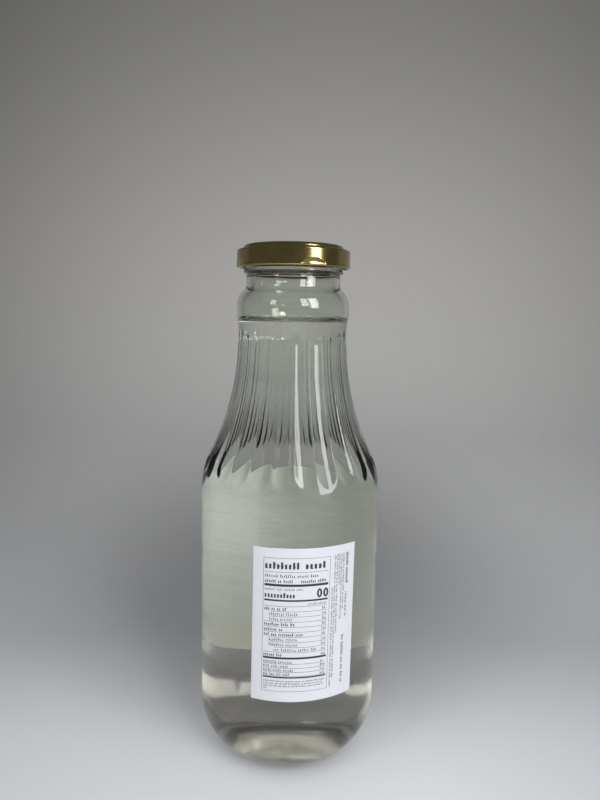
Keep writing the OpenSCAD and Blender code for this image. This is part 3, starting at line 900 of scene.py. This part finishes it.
def sweep_sheet():
    """Floor, quarter circle and wall as one strip, extruded sideways, with side and run as UV."""
    wall_y = FLOOR_Y + SWEEP_R
    prof = np.vstack([line((SHEET_FRONT, 0), (FLOOR_Y, 0), 14),
                      arc(FLOOR_Y, SWEEP_R, SWEEP_R, -90, 0, 40)[1:],
                      line((wall_y, SWEEP_R), (wall_y, SHEET_TOP), 10)[1:]])
    run = SHEET_FRONT + np.concatenate([[0], np.cumsum(np.linalg.norm(np.diff(prof, axis=0), axis=1))])
    x = np.linspace(-SHEET_HALF, SHEET_HALF, 21)
    p = np.stack([x[None, :] + 0 * prof[:, :1], prof[:, :1] + 0 * x, prof[:, 1:] + 0 * x], -1)
    sheet = new_mesh("floor_sweep", p, grid_faces(len(prof), len(x), False))
    uv = sheet.data.uv_layers.new(name="sheet_m")
    loops = np.empty(len(sheet.data.loops), int)
    sheet.data.loops.foreach_get("vertex_index", loops)
    flat = np.stack([x[None, :] + 0 * run[:, None], run[:, None] + 0 * x], -1).reshape(-1, 2)
    uv.data.foreach_set("uv", flat[loops].ravel())
    return sheet


def maths(tree, operation, *values, clamp=False):
    """Math node whose inputs are plain numbers or the outputs of other nodes."""
    node = tree.nodes.new("ShaderNodeMath")
    node.operation, node.use_clamp = operation, clamp
    for i, value in enumerate(values):
        if isinstance(value, (int, float)):
            node.inputs[i].default_value = value
        else:
            tree.links.new(value, node.inputs[i])
    return node.outputs[0]


def bell(tree, x, y, cx, cy, sx, sy):
    """Soft round spot: exp(-((x - cx) / sx)^2 - ((y - cy) / sy)^2)."""
    a = maths(tree, "DIVIDE", maths(tree, "SUBTRACT", x, cx), sx)
    b = maths(tree, "DIVIDE", maths(tree, "SUBTRACT", y, cy), sy)
    total = maths(tree, "ADD", maths(tree, "MULTIPLY", a, a), maths(tree, "MULTIPLY", b, b))
    return maths(tree, "EXPONENT", maths(tree, "MULTIPLY", total, -1.0))


floor = sweep_sheet()
mat_floor, tree = new_material("pale_paper_sweep")
uv = add(tree, "ShaderNodeUVMap", {"uv_map": "sheet_m"})
split = add(tree, "ShaderNodeSeparateXYZ", links={"Vector": uv.outputs["UV"]})
side_m, run_m = split.outputs["X"], split.outputs["Y"]
run_01 = add(tree, "ShaderNodeMapRange", inputs={"From Min": RUN_START, "From Max": RUN_START + RUN_SPAN},
             links={"Value": run_m})
ramp = add(tree, "ShaderNodeValToRGB", links={"Fac": run_01.outputs["Result"]})
ramp.color_ramp.interpolation = "B_SPLINE"
for i, (at, level) in enumerate(RUN_LEVELS):
    pos = (at - RUN_START) / RUN_SPAN
    stop = ramp.color_ramp.elements[i] if i < 2 else ramp.color_ramp.elements.new(pos)
    stop.position = pos
    stop.color = (level, level, level, 1)


def plus(*values):
    """Sum of numbers and node outputs in the sheet's material."""
    total = values[0]
    for value in values[1:]:
        total = maths(tree, "ADD", total, value)
    return total


def times(*values):
    """Product of numbers and node outputs in the sheet's material."""
    product = values[0]
    for value in values[1:]:
        product = maths(tree, "MULTIPLY", product, value)
    return product


near = maths(tree, "MINIMUM", maths(tree, "MAXIMUM", side_m, -SIDE_LIMIT), SIDE_LIMIT)
high = maths(tree, "MULTIPLY", maths(tree, "SUBTRACT", run_m, LOSS_START), LOSS_PER_M, clamp=True)
lean = times(near, maths(tree, "SUBTRACT", LEAN, times(high, LEAN_LOSS)))
fall = times(near, near, SIDE_FALL)
shadows = [times(bell(tree, side_m, run_m, *spot), power) for power, *spot in SHADOWS]
by_front = maths(tree, "SUBTRACT", 1.0, maths(tree, "DIVIDE", run_m, RIGHT_REACH, clamp=True))
past_right = maths(tree, "MAXIMUM", maths(tree, "SUBTRACT", side_m, RIGHT_START), 0.0)
right_end = times(past_right, RIGHT_FALL, by_front)
gain = maths(tree, "EXPONENT", plus(lean, fall, right_end, *shadows))
reach_m = maths(tree, "SQRT", plus(times(side_m, side_m), times(run_m, run_m)))
edge = maths(tree, "DIVIDE", maths(tree, "SUBTRACT", reach_m, RING_R), RING_REACH)
ring_01 = maths(tree, "EXPONENT", times(edge, edge, -1.0))
contact = maths(tree, "SUBTRACT", 1.0, times(RING_DEPTH, ring_01))
clear_of = maths(tree, "SUBTRACT", reach_m, UNDER_R)
under_it = maths(tree, "MULTIPLY", clear_of, 1 / UNDER_REACH, clamp=True)
level = times(gain, contact, plus(UNDER_LEVEL, times(under_it, 1 - UNDER_LEVEL)))
cool = add(tree, "ShaderNodeMapRange", inputs={"From Min": 0.0, "From Max": 0.5}, links={"Value": run_m})
hue = add(tree, "ShaderNodeMix", {"data_type": "RGBA"},
          {"A": (0.985, 1.0, 1.045, 1), "B": (1.01, 1.0, 0.985, 1)}, {"Factor": cool.outputs["Result"]})
tone = add(tree, "ShaderNodeMix", {"data_type": "RGBA", "blend_type": "MULTIPLY"}, {"Factor": 1.0},
           {"A": ramp.outputs["Color"], "B": hue.outputs["Result"]})
# The matt paper's colour carries the painted light and the painted shadows too.
lit = add(tree, "ShaderNodeVectorMath", {"operation": "SCALE"}, links={0: tone.outputs["Result"]})
tree.links.new(times(level, SHEET_ALBEDO), lit.inputs["Scale"])
matt = add(tree, "ShaderNodeBsdfDiffuse", links={"Color": lit.outputs["Vector"]})
glow = add(tree, "ShaderNodeEmission", links={"Color": tone.outputs["Result"], "Strength": level})
on_floor = add(tree, "ShaderNodeMapRange",
               inputs={"From Min": SHARE_TO, "From Max": SHARE_END, "To Min": SHADOW_SHARE, "To Max": 0.0},
               links={"Value": run_m})
mix = add(tree, "ShaderNodeMixShader",
          links={0: on_floor.outputs["Result"], 1: glow.outputs["Emission"], 2: matt.outputs["BSDF"]})
add(tree, "ShaderNodeOutputMaterial", links={"Surface": mix.outputs["Shader"]})
floor.data.materials.append(mat_floor)

# %% [markdown]
# ## Light
# One tall window stands to the right of the camera and shows as the bright strokes on the glass and
# the cap. The other lamps fill in for a room: a bright reveal beside the window, an opening on the
# left, a broad front and a ceiling. They light the pieces but are left out of glossy reflections.
# Radiance, and not power, is what shows as a reflection, so the power is worked out from it:
# P = pi * L * area.

# %% Lamps
from mathutils import Vector

AIM_Z = 0.22


def window_lamp(name, azimuth, elevation, distance, width, tall, radiance, mirrored=True):
    """Area lamp at an azimuth from the camera side, turned to a point in the bottle's bulge; without
    mirrored it lights the pieces but is left out of glossy reflections."""
    a, e = math.radians(azimuth), math.radians(elevation)
    direction = np.array([math.sin(a) * math.cos(e), -math.cos(a) * math.cos(e), math.sin(e)])
    data = bpy.data.lights.new(name, "AREA")
    data.shape = "RECTANGLE"
    data.size, data.size_y = width, tall
    data.energy = math.pi * radiance * width * tall
    lamp = bpy.data.objects.new(name, data)
    bpy.context.scene.collection.objects.link(lamp)
    lamp.location = (direction * distance + np.array([0, 0, AIM_Z])).tolist()
    lamp.visible_glossy = mirrored
    lamp.rotation_mode = "QUATERNION"
    lamp.rotation_quaternion = Vector((-direction).tolist()).to_track_quat("-Z", "Y")
    print(name, "power in W:", round(data.energy, 1))


window_lamp("tall_window", 45, 21, 1.2, 0.36, 0.87, 8.0)
window_lamp("window_reveal", 26, 25, 1.2, 0.28, 0.75, 14.0, mirrored=False)
window_lamp("left_opening", -46, 22, 1.2, 0.24, 0.45, 9.5, mirrored=False)
window_lamp("room_front", 2, 24, 1.3, 1.7, 0.9, 0.28, mirrored=False)
window_lamp("room_ceiling", -35, 47, 1.3, 1.8, 1.1, 0.48, mirrored=False)
world = bpy.data.worlds.new("tent")
bpy.context.scene.world = world
world.use_nodes = True
background = world.node_tree.nodes["Background"]
background.inputs["Color"].default_value = hex_rgba("#A9A9A6")
background.inputs["Strength"].default_value = 0.28
bpy.context.scene.view_settings.view_transform = "Standard"

# %% [markdown]
# ## Finish
# Last, the view layer is brought up to date.

# %% Finish
bpy.context.view_layer.update()
